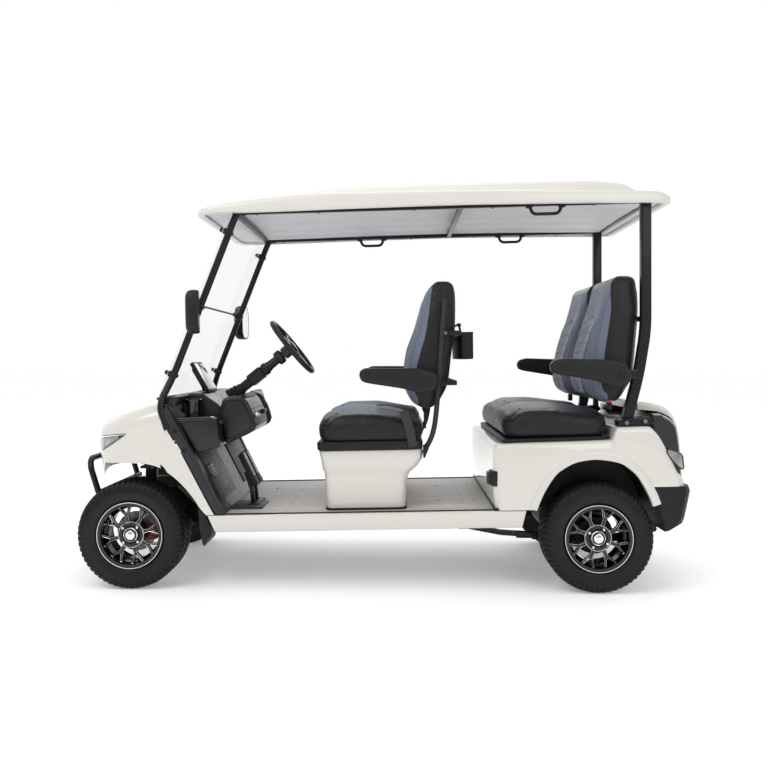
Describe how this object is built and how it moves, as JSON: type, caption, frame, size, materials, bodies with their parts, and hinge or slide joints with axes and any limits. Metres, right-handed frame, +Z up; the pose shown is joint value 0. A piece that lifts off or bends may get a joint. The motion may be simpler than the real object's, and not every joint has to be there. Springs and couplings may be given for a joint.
{
  "type": "golf cart",
  "caption": "Forward-facing four-seat electric golf cart with a fixed roof, clear windshield, moulded body, forked-spoke wheels, working steering and lifting armrests.",
  "frame": {"origin": "on the ground under the middle of the cart", "axes": "+Y towards the rear, +X towards the cart's left side, +Z up"},
  "size_m": [1.38, 3.0703, 2.0546],
  "materials": {
    "chassis_rails": "satin black powder coat",
    "chassis_cross_members": "satin black powder coat",
    "chassis_outriggers": "satin black powder coat",
    "floor_deck": "grey wood-grain mat",
    "side_sills": "gloss white moulding",
    "front_cowl": "gloss white moulding",
    "headlights": "clear lamp",
    "body_trim": "textured black moulding",
    "front_bumper": "satin black powder coat",
    "dashboard": "textured black moulding",
    "dash_pods": "textured black moulding",
    "toe_board": "textured black moulding",
    "dash_screen": "textured black moulding",
    "pedals": "ribbed pads",
    "steering_column": "textured black moulding",
    "windshield_struts": "satin black powder coat",
    "windshield_panes": "clear",
    "mirrors": "textured black moulding",
    "roof_panel": "gloss white moulding",
    "roof_frame": "satin black powder coat",
    "grab_handles": "satin black powder coat",
    "rear_posts": "satin black powder coat",
    "front_seat_base": "gloss white moulding",
    "seat_trays": "textured black moulding",
    "seat_cushions": "black vinyl",
    "seat_backs": "black vinyl",
    "seat_frames": "dark grey tube",
    "storage_tray": "textured black moulding",
    "seat_belts": "webbing",
    "rear_body": "gloss white moulding",
    "arch_liners": "textured black moulding",
    "rear_fascia": "textured black moulding",
    "rear_cap": "gloss white moulding",
    "tail_lights": "red lens",
    "rear_bumper": "textured black moulding",
    "battery_pack": "closed case",
    "front_suspension": "satin black powder coat",
    "rear_axle": "satin black powder coat",
    "rear_springs": "satin black powder coat",
    "knuckle_left": "satin black powder coat",
    "knuckle_right": "satin black powder coat",
    "steering_wheel": "textured black moulding",
    "tyre_front_left": "rubber",
    "rim_front_left": "gloss black, machined edges",
    "tyre_front_right": "rubber",
    "rim_front_right": "gloss black, machined edges",
    "tyre_rear_left": "rubber",
    "rim_rear_left": "gloss black, machined edges",
    "tyre_rear_right": "rubber",
    "rim_rear_right": "gloss black, machined edges",
    "armrest_front_left": "black vinyl",
    "armrest_front_right": "black vinyl",
    "armrest_rear_left": "black vinyl",
    "armrest_rear_right": "black vinyl"
  },
  "bodies": {
    "cart": {"chassis_rails": "chassis_rails", "chassis_cross_members": "chassis_cross_members", "chassis_outriggers": "chassis_outriggers", "floor_deck": "floor_deck", "side_sills": "side_sills", "front_cowl": "front_cowl", "headlights": "headlights", "body_trim": "body_trim", "front_bumper": "front_bumper", "dashboard": "dashboard", "dash_pods": "dash_pods", "toe_board": "toe_board", "dash_screen": "dash_screen", "pedals": "pedals", "steering_column": "steering_column", "windshield_struts": "windshield_struts", "windshield_panes": "windshield_panes", "mirrors": "mirrors", "roof_panel": "roof_panel", "roof_frame": "roof_frame", "grab_handles": "grab_handles", "rear_posts": "rear_posts", "front_seat_base": "front_seat_base", "seat_trays": "seat_trays", "seat_cushions": "seat_cushions", "seat_backs": "seat_backs", "seat_frames": "seat_frames", "storage_tray": "storage_tray", "seat_belts": "seat_belts", "rear_body": "rear_body", "arch_liners": "arch_liners", "rear_fascia": "rear_fascia", "rear_cap": "rear_cap", "tail_lights": "tail_lights", "rear_bumper": "rear_bumper", "battery_pack": "battery_pack", "front_suspension": "front_suspension", "rear_axle": "rear_axle", "rear_springs": "rear_springs"},
    "steer_left": {"knuckle_left": "knuckle_left"},
    "steer_right": {"knuckle_right": "knuckle_right"},
    "steering_wheel": {"steering_wheel": "steering_wheel"},
    "wheel_front_left": {"tyre_front_left": "tyre_front_left", "rim_front_left": "rim_front_left"},
    "wheel_front_right": {"tyre_front_right": "tyre_front_right", "rim_front_right": "rim_front_right"},
    "wheel_rear_left": {"tyre_rear_left": "tyre_rear_left", "rim_rear_left": "rim_rear_left"},
    "wheel_rear_right": {"tyre_rear_right": "tyre_rear_right", "rim_rear_right": "rim_rear_right"},
    "armrest_front_left": {"armrest_front_left": "armrest_front_left"},
    "armrest_front_right": {"armrest_front_right": "armrest_front_right"},
    "armrest_rear_left": {"armrest_rear_left": "armrest_rear_left"},
    "armrest_rear_right": {"armrest_rear_right": "armrest_rear_right"}
  },
  "joints": [
    {"name": "knuckle_left_turn", "type": "hinge", "parent": "cart", "child": "steer_left", "pos_m": [0.385, -1.214, 0.268], "axis": [0, 0, 1], "range_deg": [-30, 30]},
    {"name": "knuckle_right_turn", "type": "hinge", "parent": "cart", "child": "steer_right", "pos_m": [-0.385, -1.214, 0.268], "axis": [0, 0, 1], "range_deg": [-30, 30]},
    {"name": "steering_wheel_turn", "type": "hinge", "parent": "cart", "child": "steering_wheel", "pos_m": [0.3, -0.44302, 1.20326], "axis": [0, 0.7738, 0.6334], "range_deg": [-360, 360]},
    {"name": "wheel_front_left_spin", "type": "hinge", "parent": "steer_left", "child": "wheel_front_left", "pos_m": [0.5, -1.214, 0.268], "axis": [1, 0, 0], "continuous": true},
    {"name": "wheel_front_right_spin", "type": "hinge", "parent": "steer_right", "child": "wheel_front_right", "pos_m": [-0.5, -1.214, 0.268], "axis": [1, 0, 0], "continuous": true},
    {"name": "wheel_rear_left_spin", "type": "hinge", "parent": "cart", "child": "wheel_rear_left", "pos_m": [0.5, 1.086, 0.268], "axis": [1, 0, 0], "continuous": true},
    {"name": "wheel_rear_right_spin", "type": "hinge", "parent": "cart", "child": "wheel_rear_right", "pos_m": [-0.5, 1.086, 0.268], "axis": [1, 0, 0], "continuous": true},
    {"name": "armrest_front_left_lift", "type": "hinge", "parent": "cart", "child": "armrest_front_left", "pos_m": [0.531, 0.24796, 1.03589], "axis": [-1, 0, 0], "range_deg": [0, 75]},
    {"name": "armrest_front_right_lift", "type": "hinge", "parent": "cart", "child": "armrest_front_right", "pos_m": [-0.531, 0.24796, 1.03589], "axis": [-1, 0, 0], "range_deg": [0, 75]},
    {"name": "armrest_rear_left_lift", "type": "hinge", "parent": "cart", "child": "armrest_rear_left", "pos_m": [0.563, 1.19712, 1.05743], "axis": [-1, 0, 0], "range_deg": [0, 75]},
    {"name": "armrest_rear_right_lift", "type": "hinge", "parent": "cart", "child": "armrest_rear_right", "pos_m": [-0.563, 1.19712, 1.05743], "axis": [-1, 0, 0], "range_deg": [0, 75]}
  ],
  "couplings": [
    {"joint": "knuckle_right_turn", "follows": "knuckle_left_turn", "ratio": 1},
    {"joint": "steering_wheel_turn", "follows": "knuckle_left_turn", "ratio": 12}
  ]
}
